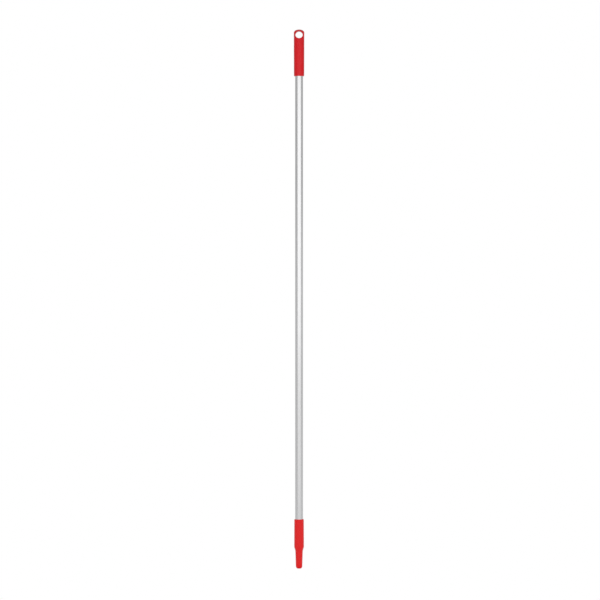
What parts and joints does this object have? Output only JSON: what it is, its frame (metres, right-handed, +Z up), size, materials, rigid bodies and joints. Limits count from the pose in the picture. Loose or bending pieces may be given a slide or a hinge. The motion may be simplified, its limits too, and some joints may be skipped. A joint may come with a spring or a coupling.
{
  "type": "cleaning tool handle",
  "caption": "Straight aluminium cleaning-tool handle: red grip with a large hanging hole, red end fitting with a sleeve, shoulder and smooth tapered tip.",
  "frame": {"origin": "centre of the tip's flat end face, at the bottom of the handle's bounding box", "axes": "+Z runs up the tube from the tapered tip to the hanging hole; the hanging hole's axis lies along Y; X is across"},
  "size_m": [0.029, 0.029, 1.5],
  "materials": {
    "tube": "satin anodised, fine lines along the tube",
    "grip": "moulded, fine satin texture",
    "fitting": "moulded, fine satin texture",
    "plug": "plain moulded",
    "core": "glass-filled, plain moulded",
    "seal": "smooth"
  },
  "bodies": {
    "root": {"tube": "tube", "hanger_grip": "grip", "grip_plug": "plug", "grip_seal_ring": "seal", "end_fitting": "fitting", "tip_core": "core", "fitting_seal_ring": "seal"}
  },
  "joints": []
}
